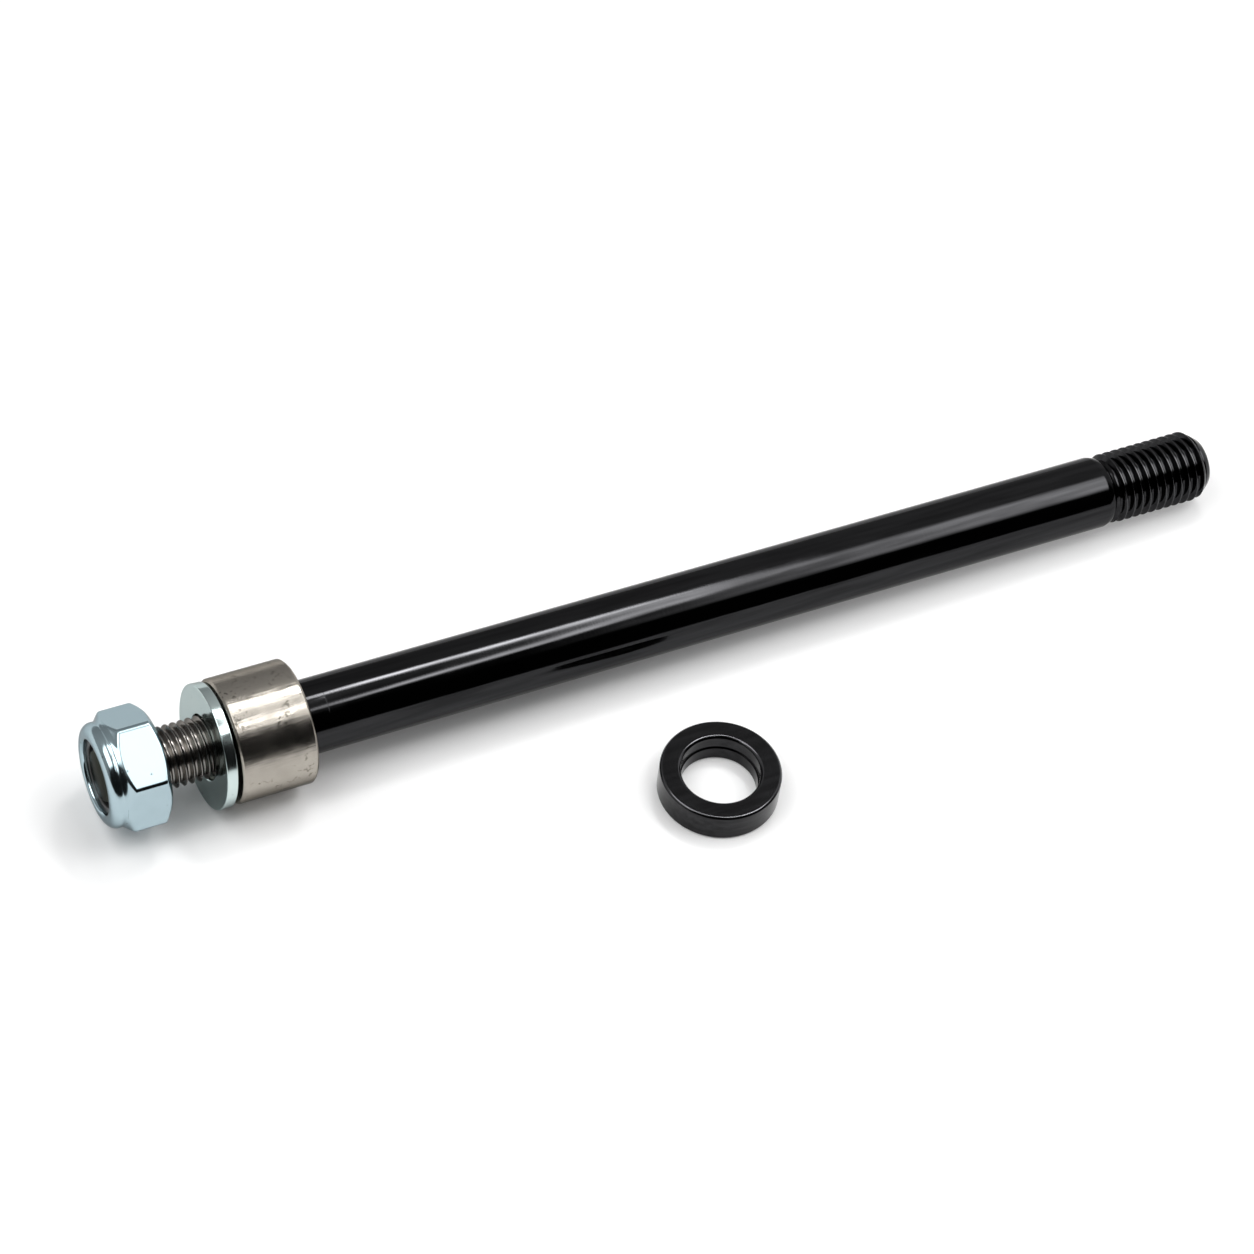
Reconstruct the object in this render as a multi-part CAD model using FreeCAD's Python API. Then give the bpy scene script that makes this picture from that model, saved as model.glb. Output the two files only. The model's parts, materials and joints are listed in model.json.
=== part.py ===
# Thru axle adapter in millimetres, lying at rest on a floor at Z = 0.
# X runs along the axle, from the lock nut to the threaded tip, and Z is up.
# Every piece but the spacer is made on the axle's own axis, with x = 0 at the seat face of the collar.
# Threads are plain cylinders over their crests.
import FreeCAD
import Part
import math
import os

# Axle shaft, black anodised aluminium
SHAFT_DIA = 11.9               # runs in a 12 mm hub bore
SHAFT_LENGTH = 162.5           # from the collar's seat face to the threaded tip
THREAD_DIA = 11.7              # M12 x 1.5 over its crests
THREAD_LENGTH = 19.0
RELIEF_DEPTH = 0.85            # groove where the thread runs out, below the crests
RELIEF_WIDTH = 1.0
SHAFT_EDGE = 0.35              # where the plain shaft eases down to the thread
SHAFT_EASE = 1.2               # length of that slope
TIP_DEPTH = 1.6                # taper at the tip, below the crests
TIP_TAPER = 2.2

# Collar and stud, one turned piece of stainless steel
COLLAR_DIA = 20.0
COLLAR_LENGTH = 12.5
COLLAR_EDGE = 0.4
SEAT_RECESS = 0.5              # into which the shaft's chamfered end is drawn
SEAT_CLEARANCE = 0.05          # of that recess over the shaft
STUD_DIA = 9.9                 # M10 x 1.25 over its crests
STUD_LENGTH = 19.7             # from the collar's outer face
STUD_TAPER = 1.0
SPIGOT_DIA = 8.0               # screwed and bonded into the shaft
SPIGOT_LENGTH = 20.0
SPIGOT_EDGE = 0.6
SPIGOT_CLEARANCE = 0.03
SPIGOT_END_GAP = 1.0
DRILL_POINT = 118.0            # degrees, at the bottom of the hole in the shaft

# Flat washer, hanging loose on the stud
WASHER_DIA = 20.0
WASHER_CLEARANCE = 0.3         # of its hole over the stud
WASHER_THICKNESS = 1.8
WASHER_EDGE = 0.2
WASHER_GAP = 0.93              # from the collar's outer face
WASHER_LEAN = 3.2              # degrees, its top towards the collar
WASHER_SEAT_GAP = 0.1          # between the top of its hole and the stud

# Lock nut, hexagon with a collar rolled over a nylon ring
NUT_ACROSS_FLATS = 17.0
NUT_TURN = -1.3                # degrees from having one corner straight up
STUD_RECESS = 0.7              # from the nut's rim down to the end of the stud
HEX_HEIGHT = 7.3
ROLLED_HEIGHT = 2.35           # of the rolled collar beyond the hexagon
BLANK_MARGIN = 0.2             # of the round blank over the hexagon's corners
FACE_INSET = 0.45              # of the bearing face from the flats
CORNER_CHAMFER = 30.0          # degrees, at both ends of the hexagon
ROLLED_INSET = 0.12            # of the rolled collar from the flats
WAIST_DEPTH = 0.2              # where the hexagon meets the rolled collar
ROLL_HEIGHT = 1.6              # over which the collar curves in
LIP_FLAT = 0.3
LIP_ROLL = 0.5
LIP_THICKNESS = 0.8
LIP_CLEARANCE = 0.95           # of the lip's hole over the stud
NUT_CLEARANCE = 0.08           # of the nut's thread over the stud
NUT_COUNTERSINK = 0.6

# Nylon ring in the nut
NYLON_COVER = 1.25             # wall of the rolled collar round it
NYLON_HEIGHT = 2.6
NYLON_CLEARANCE = 0.05         # in its pocket and over the stud

# Spacer ring, black anodised aluminium, lying beside the shaft
SPACER_DIA = 19.3
SPACER_HEIGHT = 5.2
SPACER_CLEARANCE = 0.1         # over the shaft
SPACER_STEP = 0.25             # from the bore out to the counterbore
SPACER_STEP_HEIGHT = 2.6       # where the plain bore ends
SPACER_EDGE = 0.3
SPACER_MOUTH = 0.35            # chamfer at the mouth of the counterbore
SPACER_ALONG = 59.9            # from the collar's seat face
SPACER_ASIDE = 29.1            # from under the axle's axis

STUD_ROOT_X = -COLLAR_LENGTH
STUD_END_X = STUD_ROOT_X - STUD_LENGTH
NUT_RIM_X = STUD_END_X - STUD_RECESS
NUT_FACE_X = NUT_RIM_X + ROLLED_HEIGHT + HEX_HEIGHT
ROLLED_RADIUS = NUT_ACROSS_FLATS / 2 - ROLLED_INSET
POCKET_RADIUS = ROLLED_RADIUS - NYLON_COVER
POCKET_TOP_X = NUT_RIM_X + LIP_THICKNESS
AXIS_START = FreeCAD.Vector(0, 0, 0)
X_AXIS = FreeCAD.Vector(1, 0, 0)
Y_AXIS = FreeCAD.Vector(0, 1, 0)
Z_AXIS = FreeCAD.Vector(0, 0, 1)


def on_section(x, radius):
    return FreeCAD.Vector(x, 0, radius)


def turned(outline):
    """Solid turned about the X axis from a closed outline of (x, radius) points."""
    corners = [on_section(x, radius) for x, radius in outline]
    corners.append(corners[0])
    return Part.Face(Part.makePolygon(corners)).revolve(AXIS_START, X_AXIS, 360)


def make_axle_shaft():
    thread_start = SHAFT_LENGTH - THREAD_LENGTH
    relief_end = thread_start + RELIEF_WIDTH
    relief_radius = THREAD_DIA / 2 - RELIEF_DEPTH
    hole_radius = SPIGOT_DIA / 2 + SPIGOT_CLEARANCE
    hole_depth = SPIGOT_LENGTH + SPIGOT_END_GAP
    drill_point = hole_radius / math.tan(math.radians(DRILL_POINT / 2))
    return turned([
        (hole_depth + drill_point, 0),
        (hole_depth, hole_radius),
        (-SEAT_RECESS, hole_radius),
        (-SEAT_RECESS, SHAFT_DIA / 2 - SEAT_RECESS),
        (0, SHAFT_DIA / 2),
        (thread_start - SHAFT_EASE, SHAFT_DIA / 2),
        (thread_start, SHAFT_DIA / 2 - SHAFT_EDGE),
        (thread_start, relief_radius),
        (relief_end, relief_radius),
        (relief_end + RELIEF_DEPTH, THREAD_DIA / 2),
        (SHAFT_LENGTH - TIP_TAPER, THREAD_DIA / 2),
        (SHAFT_LENGTH, THREAD_DIA / 2 - TIP_DEPTH),
        (SHAFT_LENGTH, 0),
    ])


def make_collar_stud():
    recess_radius = SHAFT_DIA / 2 + SEAT_CLEARANCE
    return turned([
        (STUD_END_X, 0),
        (STUD_END_X, STUD_DIA / 2 - STUD_TAPER),
        (STUD_END_X + STUD_TAPER, STUD_DIA / 2),
        (STUD_ROOT_X, STUD_DIA / 2),
        (STUD_ROOT_X, COLLAR_DIA / 2 - COLLAR_EDGE),
        (STUD_ROOT_X + COLLAR_EDGE, COLLAR_DIA / 2),
        (-COLLAR_EDGE, COLLAR_DIA / 2),
        (0, COLLAR_DIA / 2 - COLLAR_EDGE),
        (0, recess_radius),
        (-SEAT_RECESS, recess_radius),
        (-SEAT_RECESS, SPIGOT_DIA / 2),
        (SPIGOT_LENGTH - SPIGOT_EDGE, SPIGOT_DIA / 2),
        (SPIGOT_LENGTH, SPIGOT_DIA / 2 - SPIGOT_EDGE),
        (SPIGOT_LENGTH, 0),
    ])


def make_flat_washer():
    inner = STUD_ROOT_X - WASHER_GAP
    outer = inner - WASHER_THICKNESS
    hole_radius = STUD_DIA / 2 + WASHER_CLEARANCE
    washer = turned([
        (inner, hole_radius),
        (inner, WASHER_DIA / 2 - WASHER_EDGE),
        (inner - WASHER_EDGE, WASHER_DIA / 2),
        (outer + WASHER_EDGE, WASHER_DIA / 2),
        (outer, WASHER_DIA / 2 - WASHER_EDGE),
        (outer, hole_radius),
    ])
    washer.rotate(on_section((inner + outer) / 2, 0), Y_AXIS, WASHER_LEAN)
    washer.translate(Z_AXIS * (WASHER_SEAT_GAP - WASHER_CLEARANCE))
    return washer


def quarter_round(start, corner, end):
    """Quarter of an ellipse from start to end, which the two straights to the corner touch."""
    curve = Part.BezierCurve()
    curve.setPoles([start, corner, end])
    curve.setWeight(2, math.sqrt(0.5))
    return curve.toShape()


def straight_runs(points):
    return [Part.LineSegment(a, b).toShape() for a, b in zip(points, points[1:])]


def make_nut_blank():
    """The nut turned round, before its flats: chamfered ends, rolled collar, pocket and bore."""
    corner_radius = NUT_ACROSS_FLATS / math.sqrt(3) + BLANK_MARGIN
    face_radius = NUT_ACROSS_FLATS / 2 - FACE_INSET
    waist_radius = ROLLED_RADIUS - WAIST_DEPTH
    chamfer_slope = math.tan(math.radians(CORNER_CHAMFER))
    waist_x = NUT_FACE_X - HEX_HEIGHT
    bore_radius = STUD_DIA / 2 + NUT_CLEARANCE
    hole_radius = STUD_DIA / 2 + LIP_CLEARANCE
    pocket_floor = POCKET_TOP_X + NYLON_HEIGHT + 2 * NYLON_CLEARANCE
    roll_start = on_section(NUT_RIM_X + ROLL_HEIGHT, ROLLED_RADIUS)
    roll_end = on_section(NUT_RIM_X, hole_radius + LIP_ROLL + LIP_FLAT)
    lip_start = on_section(NUT_RIM_X, hole_radius + LIP_ROLL)
    lip_end = on_section(NUT_RIM_X + LIP_ROLL, hole_radius)
    mouth = on_section(NUT_FACE_X, bore_radius + NUT_COUNTERSINK)
    outside = straight_runs([
        mouth,
        on_section(NUT_FACE_X, face_radius),
        on_section(NUT_FACE_X - (corner_radius - face_radius) * chamfer_slope, corner_radius),
        on_section(waist_x + (corner_radius - waist_radius) * chamfer_slope, corner_radius),
        on_section(waist_x, waist_radius),
        roll_start,
    ])
    rim = [
        quarter_round(roll_start, on_section(NUT_RIM_X, ROLLED_RADIUS), roll_end),
        *straight_runs([roll_end, lip_start]),
        quarter_round(lip_start, on_section(NUT_RIM_X, hole_radius), lip_end),
    ]
    inside = straight_runs([
        lip_end,
        on_section(POCKET_TOP_X, hole_radius),
        on_section(POCKET_TOP_X, POCKET_RADIUS),
        on_section(pocket_floor, POCKET_RADIUS),
        on_section(pocket_floor, bore_radius),
        on_section(NUT_FACE_X - NUT_COUNTERSINK, bore_radius),
        mouth,
    ])
    section = Part.Face(Part.Wire(outside + rim + inside))
    return section.revolve(AXIS_START, X_AXIS, 360)


def make_hexagon_bar():
    radius = NUT_ACROSS_FLATS / math.sqrt(3)
    corners = []
    for side in range(6):
        angle = math.radians(90 + NUT_TURN + 60 * side)
        corners.append(FreeCAD.Vector(NUT_FACE_X, radius * math.cos(angle), radius * math.sin(angle)))
    corners.append(corners[0])
    return Part.Face(Part.makePolygon(corners)).extrude(X_AXIS * (NUT_RIM_X - NUT_FACE_X))


def make_lock_nut():
    return make_nut_blank().common(make_hexagon_bar())


def make_nylon_ring():
    start_x = POCKET_TOP_X + NYLON_CLEARANCE
    end_x = start_x + NYLON_HEIGHT
    outer_radius = POCKET_RADIUS - NYLON_CLEARANCE
    bore_radius = STUD_DIA / 2 + NYLON_CLEARANCE
    return turned([
        (start_x, bore_radius),
        (start_x, outer_radius),
        (end_x, outer_radius),
        (end_x, bore_radius),
    ])


def make_spacer_ring():
    """Flat on the floor, with its counterbore up."""
    bore = SHAFT_DIA / 2 + SPACER_CLEARANCE
    counterbore = bore + SPACER_STEP
    outside = SPACER_DIA / 2
    outline = [
        (bore + SPACER_EDGE, 0),
        (outside - SPACER_EDGE, 0),
        (outside, SPACER_EDGE),
        (outside, SPACER_HEIGHT - SPACER_EDGE),
        (outside - SPACER_EDGE, SPACER_HEIGHT),
        (counterbore + SPACER_MOUTH, SPACER_HEIGHT),
        (counterbore, SPACER_HEIGHT - SPACER_MOUTH),
        (counterbore, SPACER_STEP_HEIGHT + SPACER_STEP),
        (bore, SPACER_STEP_HEIGHT),
        (bore, SPACER_EDGE),
    ]
    corners = [on_section(radius, height) for radius, height in outline]
    corners.append(corners[0])
    ring = Part.Face(Part.makePolygon(corners)).revolve(AXIS_START, Z_AXIS, 360)
    ring.translate(FreeCAD.Vector(SPACER_ALONG, -SPACER_ASIDE, 0))
    return ring


# The axle rests on the seat edge of its collar and on the last full crest of its thread
tip_contact = SHAFT_LENGTH - TIP_TAPER
axle_lean = math.atan2((COLLAR_DIA - THREAD_DIA) / 2, tip_contact + COLLAR_EDGE)
axle_lift = COLLAR_DIA / 2 * math.cos(axle_lean) - COLLAR_EDGE * math.sin(axle_lean)
lying = FreeCAD.Placement(Z_AXIS * axle_lift, FreeCAD.Rotation(Y_AXIS, math.degrees(axle_lean)))

axle_pieces = {
    "axle_shaft": make_axle_shaft(),
    "collar_stud": make_collar_stud(),
    "flat_washer": make_flat_washer(),
    "lock_nut": make_lock_nut(),
    "nylon_ring": make_nylon_ring(),
}
pieces = {name: solid.transformed(lying.Matrix, True) for name, solid in axle_pieces.items()}
pieces["spacer_ring"] = make_spacer_ring()

# The origin is on the floor, under the middle of the whole set
box = Part.makeCompound(list(pieces.values())).optimalBoundingBox()
to_origin = FreeCAD.Vector(-box.Center.x, -box.Center.y, -box.ZMin)

os.makedirs("parts", exist_ok=True)
for name, solid in pieces.items():
    solid.translate(to_origin)
    solid.exportStep(f"parts/{name}.step")
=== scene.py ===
import json
import math

import bpy
from mathutils import Matrix, Quaternion, Vector


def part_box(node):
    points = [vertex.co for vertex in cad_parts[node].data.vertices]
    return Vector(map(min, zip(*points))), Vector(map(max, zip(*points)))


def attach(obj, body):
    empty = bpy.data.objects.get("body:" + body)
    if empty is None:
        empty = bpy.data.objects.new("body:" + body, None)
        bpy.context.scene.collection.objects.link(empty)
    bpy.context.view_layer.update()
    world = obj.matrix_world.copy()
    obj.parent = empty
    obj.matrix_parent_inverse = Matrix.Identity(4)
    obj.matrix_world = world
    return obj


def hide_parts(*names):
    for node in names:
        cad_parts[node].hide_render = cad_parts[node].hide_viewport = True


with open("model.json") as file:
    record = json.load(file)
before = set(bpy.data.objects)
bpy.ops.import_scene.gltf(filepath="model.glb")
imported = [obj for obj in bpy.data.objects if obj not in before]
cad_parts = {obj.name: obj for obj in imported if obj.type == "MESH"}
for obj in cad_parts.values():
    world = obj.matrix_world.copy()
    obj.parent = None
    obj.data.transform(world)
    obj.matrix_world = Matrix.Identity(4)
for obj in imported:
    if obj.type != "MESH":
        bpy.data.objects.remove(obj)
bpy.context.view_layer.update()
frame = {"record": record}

# Axle shaft: a round bar of black anodised aluminium, drilled at its near end for the collar's spigot.
# Its far end has an M12 x 1.5 thread, cut behind a short relief and tapered at the tip.
MM = 0.001
WELD = 0.0005 * MM
TURN_STEPS = 128
THREAD_STEPS = 96
SHARP_EDGE = math.radians(25)
SLIM = 0.02 * MM
mounts = {mount["name"]: mount for mount in frame["record"]["mounts"]}
along = Vector(mounts["shaft"]["axis"])
shaft_radius = mounts["shaft"]["dims"]["r_mm"] * MM
plain_length = mounts["shaft"]["dims"]["length_mm"] * MM
seat_centre = Vector(mounts["shaft"]["pos_m"]) - along * plain_length / 2
axle_turn = Vector((1, 0, 0)).rotation_difference(along)
axle_place = Matrix.Translation(seat_centre) @ axle_turn.to_matrix().to_4x4()


def apply_modifier(piece, kind, **settings):
    modifier = piece.modifiers.new(kind.title(), kind)
    for name, value in settings.items():
        setattr(modifier, name, value)
    bpy.context.view_layer.objects.active = piece
    bpy.ops.object.modifier_apply(modifier=modifier.name)


def soften_edges(piece, width, segments):
    apply_modifier(piece, "BEVEL", width=width, segments=segments, limit_method="ANGLE",
                   angle_limit=SHARP_EDGE)


def combine(piece, other, operation):
    apply_modifier(piece, "BOOLEAN", object=other, operation=operation, solver="EXACT")
    bpy.data.objects.remove(other)


def draw_outline(name, points):
    """A line through (x, radius) points, pulled out from one vertex, left open in edit mode."""
    bpy.ops.object.select_all(action="DESELECT")
    x, radius = points[0]
    bpy.ops.mesh.primitive_plane_add(size=MM, location=(x, 0, radius))
    bpy.ops.object.transform_apply()
    piece = bpy.context.object
    piece.name = name
    piece.data.name = name
    bpy.ops.object.mode_set(mode="EDIT")
    bpy.ops.mesh.select_all(action="SELECT")
    bpy.ops.mesh.merge(type="CENTER")
    for next_x, next_radius in points[1:]:
        step = (next_x - x, 0, next_radius - radius)
        bpy.ops.mesh.extrude_vertices_move(TRANSFORM_OT_translate={"value": step})
        x = next_x
        radius = next_radius
    return piece


def close_mesh():
    bpy.ops.mesh.select_all(action="SELECT")
    bpy.ops.mesh.remove_doubles(threshold=WELD)
    bpy.ops.mesh.normals_make_consistent(inside=False)
    bpy.ops.object.mode_set(mode="OBJECT")


def turn_outline(name, points, steps=TURN_STEPS):
    """The outline turned once round the X axis, as on a lathe."""
    piece = draw_outline(name, points)
    bpy.ops.mesh.select_all(action="SELECT")
    bpy.ops.mesh.spin(steps=steps, angle=2 * math.pi, center=(0, 0, 0), axis=(1, 0, 0))
    close_mesh()
    return piece


# From the middle of a crest to the middle of a root, as shares of the pitch and of the depth
HALF_THREAD = (
    (0, 0), (0.04, 0), (0.06, 0.025), (0.078, 0.08),
    (0.345, 0.87), (0.375, 0.945), (0.42, 0.99), (0.5, 1),
)


def threaded_bar(name, pitch, crest_radius, depth, start, end, crest_at):
    """A bar with a right-hand thread: one turn's outline, repeated, screwed round and cut square."""
    down = [(share * pitch, crest_radius - fall * depth) for share, fall in HALF_THREAD]
    rise = [(pitch - x, radius) for x, radius in reversed(down[:-1])]
    first = crest_at + pitch * (math.floor((start - crest_at) / pitch) - 2)
    piece = draw_outline(name, [(first + x, radius) for x, radius in down + rise])
    bpy.ops.object.mode_set(mode="OBJECT")
    apply_modifier(piece, "ARRAY", count=math.ceil((end - first) / pitch) + 1, use_relative_offset=False,
                   use_constant_offset=True, constant_offset_displace=(pitch, 0, 0),
                   use_merge_vertices=True, merge_threshold=WELD)
    apply_modifier(piece, "SCREW", axis="X", angle=2 * math.pi, screw_offset=pitch, steps=THREAD_STEPS,
                   render_steps=THREAD_STEPS, use_merge_vertices=False)
    bpy.ops.object.mode_set(mode="EDIT")
    bpy.ops.mesh.select_all(action="SELECT")
    bpy.ops.mesh.remove_doubles(threshold=WELD)
    bpy.ops.mesh.bisect(plane_co=(start, 0, 0), plane_no=(1, 0, 0), use_fill=True, clear_inner=True,
                        threshold=WELD)
    bpy.ops.mesh.select_all(action="SELECT")
    bpy.ops.mesh.bisect(plane_co=(end, 0, 0), plane_no=(1, 0, 0), use_fill=True, clear_outer=True,
                        threshold=WELD)
    close_mesh()
    return piece


def finish_piece(piece, place, node, body, material, flat_faced=True):
    """Puts a finished mesh where it belongs and ties it to its part of the frame."""
    bpy.ops.object.select_all(action="DESELECT")
    piece.select_set(True)
    bpy.context.view_layer.objects.active = piece
    piece.matrix_world = place
    bpy.ops.object.transform_apply()
    bpy.ops.object.shade_smooth_by_angle(angle=SHARP_EDGE)
    if flat_faced:
        apply_modifier(piece, "WEIGHTED_NORMAL", keep_sharp=True)
    piece.data.materials.clear()
    piece.data.materials.append(material)
    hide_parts(node)
    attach(piece, body)


def new_material(name):
    material = bpy.data.materials.new(name)
    material.use_nodes = True
    return material, material.node_tree, material.node_tree.nodes["Principled BSDF"]


def add_node(tree, kind, settings=None, **inputs):
    """A new node; an input is a value, or the output that feeds it."""
    made = tree.nodes.new("ShaderNode" + kind)
    for name, value in (settings or {}).items():
        setattr(made, name, value)
    for name, value in inputs.items():
        socket = made.inputs[name.replace("_", " ")]
        if isinstance(value, bpy.types.NodeSocket):
            tree.links.new(value, socket)
        else:
            socket.default_value = value
    return made


def surface_point(tree):
    return add_node(tree, "TexCoord").outputs["Object"]


def vector_math(tree, operation, vector, constant):
    """A node that works on a vector together with a constant one."""
    made = add_node(tree, "VectorMath", {"operation": operation}, Vector=vector)
    made.inputs[1].default_value = constant
    return made


def from_seat(tree):
    """Where a point lies from the middle of the seat face, in metres."""
    return vector_math(tree, "SUBTRACT", surface_point(tree), seat_centre).outputs[0]


def along_axle(tree):
    """How far along the axle a point lies from the seat face, in metres."""
    return vector_math(tree, "DOT_PRODUCT", from_seat(tree), along).outputs["Value"]


def turning_marks(tree, per_metre, detail):
    """Fine rings left by the tool, which run round the axle."""
    marks = add_node(tree, "TexNoise", {"noise_dimensions": "1D"}, W=along_axle(tree), Scale=per_metre,
                     Detail=detail, Roughness=0.7)
    return marks.outputs["Fac"]


def cloud(tree, per_metre, detail):
    noise = add_node(tree, "TexNoise", Vector=surface_point(tree), Scale=per_metre, Detail=detail)
    return noise.outputs["Fac"]


def drawn_streaks(tree, per_metre):
    """Long faint streaks, which run along the axle."""
    squeeze = (0.06, 1, 1)
    place = vector_math(tree, "MULTIPLY", surface_point(tree), squeeze).outputs[0]
    return add_node(tree, "TexNoise", Vector=place, Scale=per_metre, Detail=3).outputs["Fac"]


def between(tree, value, low, high, start=0.3, end=0.7):
    """A value that runs from low to high while the pattern runs from start to end."""
    ramp = add_node(tree, "MapRange", Value=value, To_Min=low, To_Max=high)
    ramp.inputs["From Min"].default_value = start
    ramp.inputs["From Max"].default_value = end
    return ramp.outputs["Result"]


def two_tones(tree, share, first, second):
    mix = add_node(tree, "Mix", {"data_type": "RGBA"}, Factor=share)
    mix.inputs["A"].default_value = (*first, 1)
    mix.inputs["B"].default_value = (*second, 1)
    return mix.outputs["Result"]


def bare_metal(name, edge_gloss):
    """A metal whose shine at a grazing angle falls to a share of a clean mirror's."""
    material, tree, shader = new_material(name)
    shader.inputs["Metallic"].default_value = 1
    shader.inputs["Specular Tint"].default_value = (edge_gloss, edge_gloss, edge_gloss, 1)
    return material, tree, shader


# How much stronger blue is than red and green in the black skin
BLUE_CAST = 1.05


def black_anodised(name, tone, edge_gloss, smooth, rough, grain):
    """Aluminium with a black dyed skin: a weak, even mirror with fine turning marks under it."""
    material, tree, shader = bare_metal(name, edge_gloss)
    links = tree.links
    dark = tone * 0.78
    light = tone * 1.25
    streaks = between(tree, drawn_streaks(tree, per_metre=1100), 0, 1, start=0.35, end=0.65)
    links.new(two_tones(tree, streaks, (dark, dark, dark * BLUE_CAST), (light, light, light * BLUE_CAST)),
              shader.inputs["Base Color"])
    links.new(between(tree, cloud(tree, per_metre=160, detail=3), smooth, rough), shader.inputs["Roughness"])
    marks = add_node(tree, "Bump", Height=turning_marks(tree, per_metre=2600, detail=4), Distance=0.002 * MM)
    lines = add_node(tree, "Bump", Height=drawn_streaks(tree, per_metre=1800), Distance=0.004 * MM,
                     Normal=marks.outputs["Normal"])
    skin = add_node(tree, "Bump", Height=cloud(tree, per_metre=2500, detail=2), Distance=grain,
                    Normal=lines.outputs["Normal"])
    links.new(skin.outputs["Normal"], shader.inputs["Normal"])
    return material


spigot_radius = 4.0 * MM
spigot_length = 20 * MM
hole_radius = spigot_radius + 0.03 * MM
hole_depth = spigot_length + 1.0 * MM
drill_point = hole_radius / math.tan(math.radians(118 / 2))
seat_recess = 0.5 * MM
mark_x = 4.0 * MM
mark_depth = 0.02 * MM
shoulder_x = plain_length + 1.2 * MM
shoulder_radius = shaft_radius - 0.35 * MM
axle_shaft = turn_outline("axle_shaft_bar", [
    (hole_depth + drill_point, 0),
    (hole_depth, hole_radius),
    (-seat_recess, hole_radius),
    (-seat_recess, shaft_radius - seat_recess),
    (0, shaft_radius),
    (mark_x - 3 * mark_depth, shaft_radius),
    (mark_x, shaft_radius - mark_depth),
    (mark_x + 3 * mark_depth, shaft_radius),
    (plain_length, shaft_radius),
    (shoulder_x, shoulder_radius),
    (shoulder_x, 0),
])
soften_edges(axle_shaft, width=0.08 * MM, segments=3)

m12_pitch = 1.5 * MM
m12_depth = 0.84 * MM
m12_radius = mounts["dropout_thread"]["dims"]["r_mm"] * MM
m12_middle = (Vector(mounts["dropout_thread"]["pos_m"]) - seat_centre).dot(along)
tip_taper = 2.2 * MM
tip_x = m12_middle + mounts["dropout_thread"]["dims"]["length_mm"] * MM / 2 + tip_taper
tip_radius = m12_radius - 1.6 * MM
relief_radius = m12_radius - 0.9 * MM
relief_end = shoulder_x + 0.35 * MM
thread_root = shoulder_x - 0.3 * MM
m12_crest = 145.4 * MM
axle_thread = threaded_bar("axle_thread", m12_pitch, m12_radius, m12_depth,
                           start=thread_root - MM, end=tip_x + MM, crest_at=m12_crest)
thread_blank = turn_outline("thread_blank", [
    (thread_root, 0),
    (thread_root, relief_radius),
    (relief_end, relief_radius),
    (relief_end + m12_radius - relief_radius, m12_radius + SLIM),
    (tip_x - tip_taper, m12_radius + SLIM),
    (tip_x, tip_radius),
    (tip_x, 0),
])
soften_edges(thread_blank, width=0.12 * MM, segments=3)
combine(axle_thread, thread_blank, "INTERSECT")
combine(axle_shaft, axle_thread, "UNION")
glossy_black = black_anodised("glossy_black", tone=0.025, edge_gloss=0.64, smooth=0.06, rough=0.11,
                              grain=0.0004 * MM)
highlight_depth = 0.07 * MM
highlight_fade = 0.04 * MM


def times(tree, first, second):
    product = add_node(tree, "Math", {"operation": "MULTIPLY"})
    tree.links.new(first, product.inputs[0])
    tree.links.new(second, product.inputs[1])
    return product.outputs[0]


def blend(tree, share, first, second):
    """The first colour, with the second over it where the share is one."""
    mix = add_node(tree, "Mix", {"data_type": "RGBA"}, Factor=share)
    tree.links.new(first, mix.inputs["A"])
    mix.inputs["B"].default_value = (*second, 1)
    return mix.outputs["Result"]


def paint_highlight_line(material, share, tone):
    """Paints a lighter tone where the share is one: a painted highlight line on the black skin."""
    tree = material.node_tree
    colour = tree.nodes["Principled BSDF"].inputs["Base Color"]
    tree.links.new(blend(tree, share, colour.links[0].from_socket, (tone, tone, tone * BLUE_CAST)), colour)


def crest_share(tree):
    """One on the crests of the axle's thread, nought elsewhere."""
    aside = vector_math(tree, "CROSS_PRODUCT", from_seat(tree), along).outputs[0]
    radius = add_node(tree, "VectorMath", {"operation": "LENGTH"}, Vector=aside).outputs["Value"]
    on_crest = between(tree, radius, 0, 1, m12_radius - highlight_depth, m12_radius - highlight_depth + highlight_fade)
    return times(tree, on_crest, between(tree, along_axle(tree), 0, 1, shoulder_x, relief_end))


# Painted highlight: a lighter tone draws thin light lines along the crests of the thread.
paint_highlight_line(glossy_black, crest_share(glossy_black.node_tree), tone=0.06)
finish_piece(axle_shaft, axle_place, "axle_shaft", "axle", glossy_black)

# Collar and stud: one piece of stainless steel turned from bar, with a spigot bonded into the shaft.
# The collar seats on the frame, and the M10 x 1.25 stud outside it carries the hitch, washer and nut.
collar_radius = 10 * MM
collar_length = 12.5 * MM
collar_edge = 0.4 * MM
spigot_edge = 0.6 * MM
recess_radius = shaft_radius + 0.05 * MM
stud_root = -collar_length
collar_stud = turn_outline("collar_stud_bar", [
    (stud_root, 0),
    (stud_root, collar_radius - collar_edge),
    (stud_root + collar_edge, collar_radius),
    (-collar_edge, collar_radius),
    (0, collar_radius - collar_edge),
    (0, recess_radius),
    (-seat_recess, recess_radius),
    (-seat_recess, spigot_radius),
    (spigot_length - spigot_edge, spigot_radius),
    (spigot_length, spigot_radius - spigot_edge),
    (spigot_length, 0),
])
soften_edges(collar_stud, width=0.08 * MM, segments=3)

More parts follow.
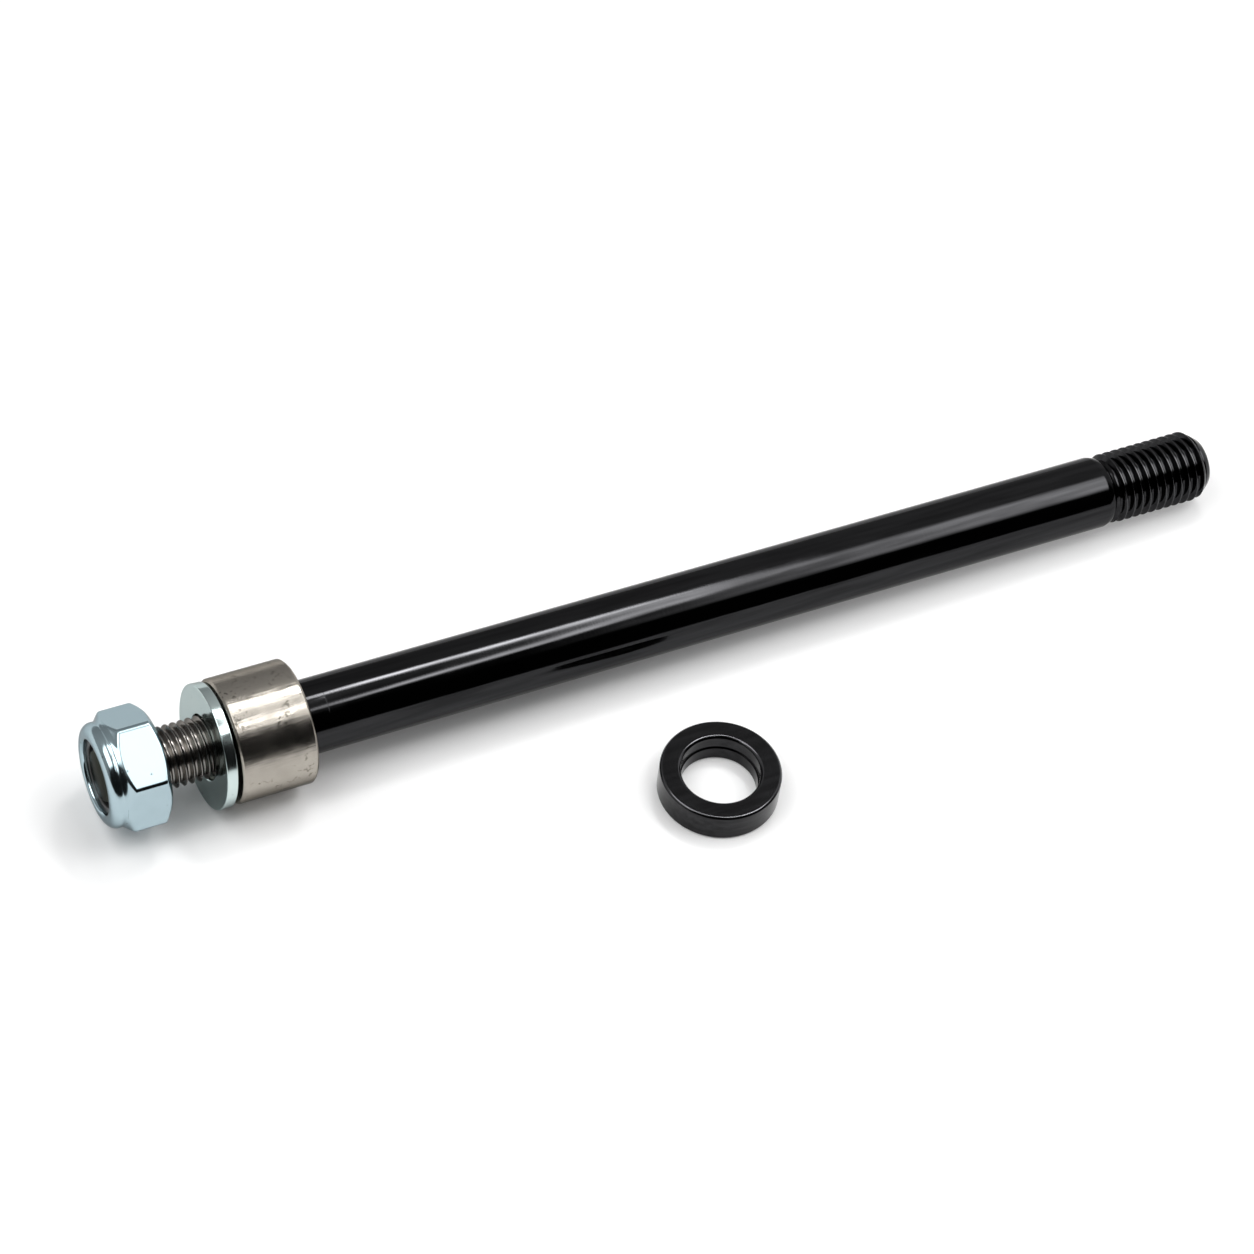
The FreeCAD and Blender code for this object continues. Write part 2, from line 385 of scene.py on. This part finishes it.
m10_pitch = 1.25 * MM
m10_depth = 0.74 * MM
m10_radius = 4.95 * MM
m10_crest = -21.3 * MM
stud_end = stud_root - 19.7 * MM
stud_taper = 1.0 * MM
stud_overlap = stud_root + 0.3 * MM
stud_thread = threaded_bar("stud_thread", m10_pitch, m10_radius, m10_depth,
                           start=stud_end - MM, end=stud_overlap, crest_at=m10_crest)
stud_blank = turn_outline("stud_blank", [
    (stud_end, 0),
    (stud_end, m10_radius - stud_taper),
    (stud_end + stud_taper, m10_radius + SLIM),
    (stud_overlap + MM, m10_radius + SLIM),
    (stud_overlap + MM, 0),
])
soften_edges(stud_blank, width=0.1 * MM, segments=3)
combine(stud_thread, stud_blank, "INTERSECT")
combine(collar_stud, stud_thread, "UNION")


def turned_stainless():
    """Handled steel, warm and lightly scored along the collar and dull on the stud, with painted shade
    darkening the stud's end inside the nut.
    """
    dull = (0.325, 0.3, 0.265)
    clean = (0.455, 0.425, 0.378)
    speck_tone = (0.165, 0.15, 0.124)
    stud_tone = (0.255, 0.242, 0.227)
    end_shade_tone = (0.105, 0.109, 0.098)
    stud_start = stud_root - 0.3 * MM
    collar_start = stud_root - 0.1 * MM
    material, tree, shader = bare_metal("turned_stainless", edge_gloss=0.3)
    links = tree.links
    place = along_axle(tree)
    on_collar = between(tree, place, 0, 1, stud_start, collar_start)
    on_stud = between(tree, place, 1, 0, stud_start, collar_start)
    # Painted shade: the stud's end, sunk in the nut's mouth, is darkened in its colour.
    in_nut_shade = between(tree, place, 1, 0, stud_end + 0.1 * MM, stud_end + 0.2 * MM)
    stains = cloud(tree, per_metre=260, detail=5)
    dots = between(tree, cloud(tree, per_metre=1500, detail=2), 0, 0.8, start=0.58, end=0.66)
    specks = times(tree, dots, between(tree, stains, 0, 1, start=0.45, end=0.56))
    worn = blend(tree, specks, two_tones(tree, stains, dull, clean), speck_tone)
    tone = blend(tree, in_nut_shade, blend(tree, on_stud, worn, stud_tone), end_shade_tone)
    links.new(tone, shader.inputs["Base Color"])
    links.new(times(tree, between(tree, stains, 0.27, 0.17), between(tree, on_collar, 0.9, 1, 0, 1)),
              shader.inputs["Roughness"])
    ring_marks = times(tree, turning_marks(tree, per_metre=2200, detail=6), on_collar)
    rings = add_node(tree, "Bump", Height=ring_marks, Distance=0.0025 * MM)
    scores = times(tree, drawn_streaks(tree, per_metre=2200), on_collar)
    brushed = add_node(tree, "Bump", Height=scores, Distance=0.02 * MM, Normal=rings.outputs["Normal"])
    hollows = times(tree, cloud(tree, per_metre=260, detail=2), on_collar)
    dents = add_node(tree, "Bump", Height=hollows, Distance=0.06 * MM, Normal=brushed.outputs["Normal"])
    links.new(dents.outputs["Normal"], shader.inputs["Normal"])
    return material


finish_piece(collar_stud, axle_place, "collar_stud", "axle", turned_stainless())

# Flat washer: an M10 washer stamped from steel sheet and zinc plated, so its edges are a little rounded.
# It hangs loose on the stud, with its top leaning towards the collar.
washer_radius = 10 * MM
washer_hole = m10_radius + 0.3 * MM
washer_thickness = 1.8 * MM
washer_gap = 0.93 * MM
washer_middle = stud_root - washer_gap - washer_thickness / 2
washer_drop = -0.2 * MM
washer_lean = math.radians(3.2)
flat_washer = turn_outline("flat_washer_disc", [
    (-washer_thickness / 2, washer_hole),
    (-washer_thickness / 2, washer_radius),
    (washer_thickness / 2, washer_radius),
    (washer_thickness / 2, washer_hole),
    (-washer_thickness / 2, washer_hole),
])
soften_edges(flat_washer, width=0.2 * MM, segments=4)


def bright_zinc(name, dull, bright):
    """Thin bright plating with a cool haze and a few small pits."""
    pit_tone = (0.12, 0.14, 0.16)
    material, tree, shader = bare_metal(name, edge_gloss=0.42)
    links = tree.links
    haze = cloud(tree, per_metre=300, detail=4)
    cells = add_node(tree, "TexVoronoi", Vector=surface_point(tree), Scale=620)
    chance = add_node(tree, "SeparateColor", Color=cells.outputs["Color"])
    pits = times(tree, between(tree, cells.outputs["Distance"], 0.8, 0, start=0.05, end=0.13),
                 between(tree, chance.outputs["Red"], 0, 1, start=0.5, end=0.52))
    plating = two_tones(tree, haze, dull, bright)
    links.new(blend(tree, pits, plating, pit_tone), shader.inputs["Base Color"])
    links.new(between(tree, haze, 0.10, 0.17), shader.inputs["Roughness"])
    skin = add_node(tree, "Bump", Height=cloud(tree, per_metre=700, detail=2), Distance=0.0015 * MM)
    links.new(skin.outputs["Normal"], shader.inputs["Normal"])
    return material


washer_zinc = bright_zinc("washer_zinc", dull=(0.535, 0.635, 0.632), bright=(0.605, 0.695, 0.68))
washer_place = (axle_place @ Matrix.Translation((washer_middle, 0, washer_drop))
                @ Matrix.Rotation(washer_lean, 4, "Y"))
finish_piece(flat_washer, washer_place, "flat_washer", "axle", washer_zinc)

# Lock nut: an M10 nut forged and tapped in steel, then zinc plated, with chamfered corners.
# Its round collar is rolled over a nylon ring, which grips the stud so that the nut stays put.
across_flats = 17 * MM
corner_radius = across_flats / math.sqrt(3)
flat_turn = math.radians(-1.3)
corner_round = 0.65 * MM
edge_round = 0.4 * MM
nut_rim = stud_end - 0.7 * MM
rolled_height = 2.35 * MM
hex_height = 7.3 * MM
nut_face = nut_rim + rolled_height + hex_height
face_radius = across_flats / 2 - 0.45 * MM
rolled_radius = across_flats / 2 - 0.12 * MM
waist_x = nut_face - hex_height
waist_radius = rolled_radius - 0.2 * MM
roll_height = 1.6 * MM
blank_radius = corner_radius + 0.2 * MM
face_slope = math.tan(math.radians(30))
crown_slope = math.tan(math.radians(38))
saddle_rise = 0.6 * MM
saddle_run = 0.55 * MM
lip_radius = m10_radius + 0.95 * MM
lip_roll = 0.5 * MM
lip_flat = 0.3 * MM
lip_depth = 0.8 * MM
pocket_radius = rolled_radius - 1.25 * MM
pocket_top = nut_rim + lip_depth
pocket_floor = pocket_top + 2.7 * MM
tapped_radius = m10_radius - 0.6 * MM
countersink = 0.65 * MM
ROUND_STEPS = 24
NUT_STEPS = 240
CORNER_PULL = 0.75


def round_corner(start, corner, end):
    """Points on the quarter of an ellipse from start to end that fits the corner."""
    points = []
    for step in range(ROUND_STEPS + 1):
        angle = math.pi / 2 * step / ROUND_STEPS
        to_start = 1 - math.sin(angle)
        to_end = 1 - math.cos(angle)
        points.append(tuple(c + (s - c) * to_start + (e - c) * to_end
                            for s, c, e in zip(start, corner, end)))
    return points


def straight_steps(start, end, steps):
    """Even points from start to end, without the last."""
    return [tuple(s + (e - s) * step / steps for s, e in zip(start, end)) for step in range(steps)]


def blend_low(first, second, reach):
    """The lower of two heights, rounded off where they come within reach of each other."""
    overlap = max(reach - abs(first - second), 0) / reach
    return min(first, second) - overlap * overlap * reach / 4


def angle_from_flat(angle):
    """How far an angle is from the middle of the nearest flat."""
    return (angle - flat_turn + math.pi / 6) % (math.pi / 3) - math.pi / 6


def flats_radius(angle):
    """How far the hexagon reaches from its axis at an angle, with its corners rounded off."""
    from_flat = abs(angle_from_flat(angle))
    this_flat = across_flats / 2 / math.cos(from_flat)
    next_flat = across_flats / 2 / math.cos(math.pi / 3 - from_flat)
    return blend_low(this_flat, next_flat, corner_round)


face_chamfer = (nut_face - (blank_radius - face_radius) * face_slope, blank_radius)
crown_edge = (waist_x + (blank_radius - waist_radius) * crown_slope, blank_radius)
saddle_start = (waist_x + saddle_rise * crown_slope, waist_radius + saddle_rise)
saddle_end = (waist_x - saddle_run, rolled_radius)
blank_outline = [
    (nut_face, m10_radius + countersink),
    *straight_steps((nut_face, face_radius), face_chamfer, steps=20),
    *straight_steps(face_chamfer, crown_edge, steps=8),
    *straight_steps(crown_edge, saddle_start, steps=16),
    *round_corner(saddle_start, (waist_x, waist_radius), saddle_end),
    *round_corner((nut_rim + roll_height, rolled_radius), (nut_rim, rolled_radius),
                  (nut_rim, lip_radius + lip_roll + lip_flat)),
    *round_corner((nut_rim, lip_radius + lip_roll), (nut_rim, lip_radius), (nut_rim + lip_roll, lip_radius)),
    (pocket_top, lip_radius),
    (pocket_top, pocket_radius),
    (pocket_floor, pocket_radius),
    (pocket_floor, tapped_radius),
    (nut_face - (m10_radius + countersink - tapped_radius), tapped_radius),
    (nut_face, m10_radius + countersink),
]
lock_nut = turn_outline("lock_nut_hexagon", blank_outline, NUT_STEPS)
for vertex in lock_nut.data.vertices:
    x, y, z = vertex.co
    radius = math.hypot(y, z)
    angle = math.atan2(z, y)
    from_flat = angle_from_flat(angle)
    near_corner = math.pi / 6 * math.sin(3 * from_flat)
    angle += CORNER_PULL * (near_corner - from_flat)
    if x > waist_x and radius > face_radius - edge_round:
        radius = blend_low(radius, flats_radius(angle), edge_round)
    vertex.co = (x, radius * math.cos(angle), radius * math.sin(angle))
nut_clearance = 0.1 * MM
tap_overrun = 0.3 * MM
nut_thread = threaded_bar("nut_thread", m10_pitch, m10_radius + nut_clearance, m10_depth,
                          start=pocket_floor - tap_overrun, end=nut_face + tap_overrun, crest_at=m10_crest)
combine(lock_nut, nut_thread, "DIFFERENCE")
nut_zinc = bright_zinc("nut_zinc", dull=(0.375, 0.48, 0.523), bright=(0.435, 0.55, 0.595))
finish_piece(lock_nut, axle_place, "lock_nut", "nut", nut_zinc, flat_faced=False)

# Nylon ring: a plain moulded ring of dark nylon in the lock nut's pocket.
# The stud cuts its own way through it, so it grips the thread.
nylon_gap = 0.05 * MM
nylon_ring = turn_outline("nylon_ring_insert", [
    (pocket_top + nylon_gap, m10_radius + nylon_gap),
    (pocket_top + nylon_gap, pocket_radius - nylon_gap),
    (pocket_floor - nylon_gap, pocket_radius - nylon_gap),
    (pocket_floor - nylon_gap, m10_radius + nylon_gap),
    (pocket_top + nylon_gap, m10_radius + nylon_gap),
])
soften_edges(nylon_ring, width=0.25 * MM, segments=4)


def dark_nylon():
    dark = (0.012, 0.012, 0.012)
    light = (0.022, 0.022, 0.022)
    material, tree, shader = new_material("dark_nylon")
    links = tree.links
    mottle = cloud(tree, per_metre=700, detail=3)
    links.new(two_tones(tree, mottle, dark, light), shader.inputs["Base Color"])
    links.new(between(tree, mottle, 0.38, 0.5), shader.inputs["Roughness"])
    skin = add_node(tree, "Bump", Height=mottle, Distance=0.01 * MM)
    links.new(skin.outputs["Normal"], shader.inputs["Normal"])
    return material


finish_piece(nylon_ring, axle_place, "nylon_ring", "nut_ring", dark_nylon())

# Spacer ring: a loose ring of black anodised aluminium, turned with a stepped bore and chamfered edges.
# It lies flat on the floor beside the shaft, ready to go between collar and frame.
spacer_low, spacer_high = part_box("spacer_ring")
spacer_radius = (spacer_high.x - spacer_low.x) / 2
spacer_height = spacer_high.z
spacer_bore = mounts["spacer_bore"]["dims"]["r_mm"] * MM
spacer_step = 0.25 * MM
step_height = 2.6 * MM
counterbore = spacer_bore + spacer_step
spacer_edge = 0.3 * MM
spacer_mouth = 0.35 * MM
spacer_ring = turn_outline("spacer_ring_turned", [
    (0, spacer_bore + spacer_edge),
    (0, spacer_radius - spacer_edge),
    (spacer_edge, spacer_radius),
    (spacer_height - spacer_edge, spacer_radius),
    (spacer_height, spacer_radius - spacer_edge),
    (spacer_height, counterbore + spacer_mouth),
    (spacer_height - spacer_mouth, counterbore),
    (step_height + spacer_step, counterbore),
    (step_height, spacer_bore),
    (spacer_edge, spacer_bore),
    (0, spacer_bore + spacer_edge),
])
soften_edges(spacer_ring, width=0.1 * MM, segments=4)
spacer_centre = (spacer_low + spacer_high) / 2
satin_black = black_anodised("satin_black", tone=0.025, edge_gloss=0.9, smooth=0.11, rough=0.16,
                             grain=0.0008 * MM)
highlight_reach = 0.12 * MM
highlight_rise = 0.1 * MM


def larger(tree, first, second):
    most = add_node(tree, "Math", {"operation": "MAXIMUM"})
    tree.links.new(first, most.inputs[0])
    tree.links.new(second, most.inputs[1])
    return most.outputs[0]


def top_edge_share(tree):
    """One on the ring's top edges, inside and out, nought elsewhere."""
    height = add_node(tree, "SeparateXYZ", Vector=surface_point(tree)).outputs["Z"]
    aside = vector_math(tree, "SUBTRACT", surface_point(tree), spacer_centre).outputs[0]
    level = vector_math(tree, "MULTIPLY", aside, (1, 1, 0)).outputs[0]
    radius = add_node(tree, "VectorMath", {"operation": "LENGTH"}, Vector=level).outputs["Value"]
    outer_start = spacer_radius - spacer_edge - highlight_reach
    inner_end = counterbore + spacer_mouth + highlight_reach
    edge_start = spacer_height - spacer_edge
    outer = between(tree, radius, 0, 1, outer_start, outer_start + highlight_fade)
    inner = between(tree, radius, 1, 0, inner_end - highlight_fade, inner_end)
    on_top = between(tree, height, 0, 1, edge_start, edge_start + highlight_rise)
    return times(tree, larger(tree, outer, inner), on_top)


# Painted highlight: a lighter tone draws light lines along the ring's top edges, inside and out.
paint_highlight_line(satin_black, top_edge_share(satin_black.node_tree), tone=0.1)
spacer_place = (Matrix.Translation((spacer_centre.x, spacer_centre.y, 0))
                @ Matrix.Rotation(-math.pi / 2, 4, "Y"))
finish_piece(spacer_ring, spacer_place, "spacer_ring", "axle", satin_black)

# Studio: a white table under a lamp tube bent like a U, a dim panel over the nut and two soft windows.
# A grey wall stands behind the table, which turns plain white away from the collar, both where it is
# seen directly and where it shows in the metal.
bpy.ops.object.select_all(action="DESELECT")
bpy.ops.mesh.primitive_plane_add(size=16)
floor = bpy.context.object
floor.name = "floor"
table_tone = 0.92
table_lift = 0.05
near_reach = 0.04
white_reach = 0.45


def white_table():
    material = bpy.data.materials.new("white_table")
    material.use_nodes = True
    tree = material.node_tree
    tree.nodes.clear()
    paths = add_node(tree, "LightPath").outputs
    direct = larger(tree, paths["Is Camera Ray"], paths["Is Glossy Ray"])
    seen = larger(tree, direct, paths["Is Transmission Ray"])
    under_seat = (seat_centre.x, seat_centre.y, 0)
    reach = vector_math(tree, "DISTANCE", surface_point(tree), under_seat).outputs["Value"]
    # Painted light: the white glow begins only near_reach from the collar, so it paints the axle's shadow
    # lighter towards the tip.
    far = times(tree, between(tree, reach, 0, 1, near_reach, white_reach), seen)
    board = add_node(tree, "BsdfDiffuse", Color=(table_tone, table_tone, table_tone, 1))
    glow = add_node(tree, "Emission", Strength=between(tree, seen, 0, table_lift, 0, 1))
    near = add_node(tree, "AddShader")
    tree.links.new(board.outputs[0], near.inputs[0])
    tree.links.new(glow.outputs[0], near.inputs[1])
    sweep = add_node(tree, "Emission", Strength=1.0)
    table = add_node(tree, "MixShader", Fac=far)
    tree.links.new(near.outputs[0], table.inputs[1])
    tree.links.new(sweep.outputs[0], table.inputs[2])
    output = add_node(tree, "OutputMaterial")
    tree.links.new(table.outputs[0], output.inputs["Surface"])
    return material


floor.data.materials.append(white_table())
LIGHT_REACH = 0.8


def hang_light(name, angle, left, right, width, radiance):
    """A flat light over the axle at an angle from the back, and a point's place on it in metres."""
    tilt = math.radians(angle)
    middle = ((left + right) / 2, seat_centre.y + LIGHT_REACH * math.cos(tilt), LIGHT_REACH * math.sin(tilt))
    bpy.ops.object.light_add(type="AREA", location=middle, rotation=(tilt - math.pi / 2, 0, 0))
    light = bpy.context.object
    light.name = name
    light.data.shape = "RECTANGLE"
    light.data.size = right - left
    light.data.size_y = width
    light.data.energy = radiance * math.pi * (right - left) * width
    light.visible_camera = False
    light.data.use_nodes = True
    tree = light.data.node_tree
    place = add_node(tree, "SeparateXYZ", Vector=add_node(tree, "NewGeometry").outputs["Parametric"])
    along_light = between(tree, place.outputs["X"], left, right, 0, 1)
    across_light = between(tree, place.outputs["Y"], -width / 2, width / 2, 0, 1)
    return tree, along_light, across_light


def fade(tree, value, start, end):
    """Full strength up to start, soft down to nothing at end."""
    ramp = add_node(tree, "MapRange", {"interpolation_type": "SMOOTHSTEP"}, Value=value, To_Min=1, To_Max=0)
    ramp.inputs["From Min"].default_value = start
    ramp.inputs["From Max"].default_value = end
    return ramp.outputs["Result"]


def from_middle(tree, value):
    size = add_node(tree, "Math", {"operation": "ABSOLUTE"})
    tree.links.new(value, size.inputs[0])
    return size.outputs[0]


bend_half = 0.285
bend_start = 0.15
bend_depth = 0.196
tube_glow = 0.11
tube_left = 0.187
tube_right = 0.42
tube_start = 0.025
tube_fade = 0.14
front_arm = 0.36
past_edge = 10
tree, along_lamp, across_lamp = hang_light("bent_tube", angle=89.3, left=tube_left, right=tube_right,
                                           width=0.82, radiance=36)
past_bend = between(tree, along_lamp, 0, past_edge, bend_start, bend_start + past_edge * bend_depth)
to_side = between(tree, across_lamp, -past_edge, past_edge, -past_edge * bend_half, past_edge * bend_half)
ring = add_node(tree, "VectorMath", {"operation": "LENGTH"},
                Vector=add_node(tree, "CombineXYZ", X=past_bend, Y=to_side).outputs[0])
off_tube = from_middle(tree, between(tree, ring.outputs["Value"], -bend_half, (past_edge - 1) * bend_half,
                                     0, past_edge))
arms = times(tree, between(tree, across_lamp, front_arm, 1, start=0.13, end=0.25),
             between(tree, along_lamp, 0, 1, tube_left, tube_left + tube_start))
arms = times(tree, arms, fade(tree, along_lamp, tube_right - tube_fade, tube_right))
tube = times(tree, fade(tree, off_tube, 0, tube_glow), arms)
tree.links.new(tube, tree.nodes["Emission"].inputs["Strength"])

panel_right = 0.2
panel_half = 0.48
side_fade = 0.1
end_fade = 0.03
middle_share = 0.3
end_share = 0.42
tree, along_panel, across_panel = hang_light("near_panel", angle=95, left=0.02, right=panel_right,
                                             width=2 * panel_half, radiance=2.5)
off_line = from_middle(tree, across_panel)
edges = times(tree, fade(tree, off_line, panel_half - side_fade, panel_half),
              fade(tree, along_panel, panel_right - end_fade, panel_right))
dimming = times(tree, between(tree, off_line, middle_share, 1, start=0.04, end=0.16),
                between(tree, along_panel, 1, end_share, start=0.145, end=0.165))
tree.links.new(times(tree, edges, dimming), tree.nodes["Emission"].inputs["Strength"])


def soft_window(name, angle, left, right, half, soft, radiance):
    """A flat light that fades out over its soft margin."""
    tree, along_window, across_window = hang_light(name, angle, left, right, 2 * half, radiance)
    centre = (left + right) / 2
    off_centre = from_middle(tree, between(tree, along_window, left - centre, right - centre, left, right))
    glow = times(tree, fade(tree, from_middle(tree, across_window), half - soft, half),
                 fade(tree, off_centre, (right - left) / 2 - soft, (right - left) / 2))
    tree.links.new(glow, tree.nodes["Emission"].inputs["Strength"])


soft_window("right_window", angle=107, left=0.27, right=0.8, half=0.41, soft=0.24, radiance=5.6)
soft_window("left_window", angle=88, left=-1.1, right=-0.12, half=0.42, soft=0.15, radiance=3.1)

world = bpy.data.worlds.new("studio")
bpy.context.scene.world = world
world.use_nodes = True
room = world.node_tree
direction = add_node(room, "SeparateXYZ", Vector=add_node(room, "TexCoord").outputs["Generated"])
wall = add_node(room, "ValToRGB", Fac=between(room, direction.outputs["Y"], 0, 1, start=-1, end=1))
shades = wall.color_ramp.elements
shades[0].position = 0.33
shades[0].color = (0.008, 0.008, 0.008, 1)
shades[1].position = 0.98
shades[1].color = (0.32, 0.32, 0.324, 1)
for position, shade in ((0.48, 0.36), (0.8, 0.4)):
    shades.new(position).color = (shade, shade, shade, 1)
room.links.new(wall.outputs["Color"], room.nodes["Background"].inputs["Color"])
right_side = between(room, direction.outputs["X"], 1, 1.6, start=0.3, end=0.5)
room.links.new(right_side, room.nodes["Background"].inputs["Strength"])

# Camera: a long lens that looks down on the table from the nut's side.
# It is rolled a little, so that the axle climbs to the right.
view_azimuth = math.radians(-31.150)
view_elevation = math.radians(50.7305)
view_roll = math.radians(8.197)
view_distance = 0.70025
view_aim = Vector((-0.004508, 0.020063, 0))
back = Vector((math.sin(view_azimuth) * math.cos(view_elevation),
               -math.cos(view_azimuth) * math.cos(view_elevation),
               math.sin(view_elevation)))
bpy.ops.object.camera_add(location=view_aim + back * view_distance)
camera = bpy.context.object
camera.rotation_euler = (back.to_track_quat("Z", "Y") @ Quaternion((0, 0, 1), view_roll)).to_euler()
camera.data.sensor_width = 36
camera.data.lens = 124.53
camera.data.clip_start = 0.01
bpy.context.scene.camera = camera
bpy.context.scene.view_settings.view_transform = "Standard"
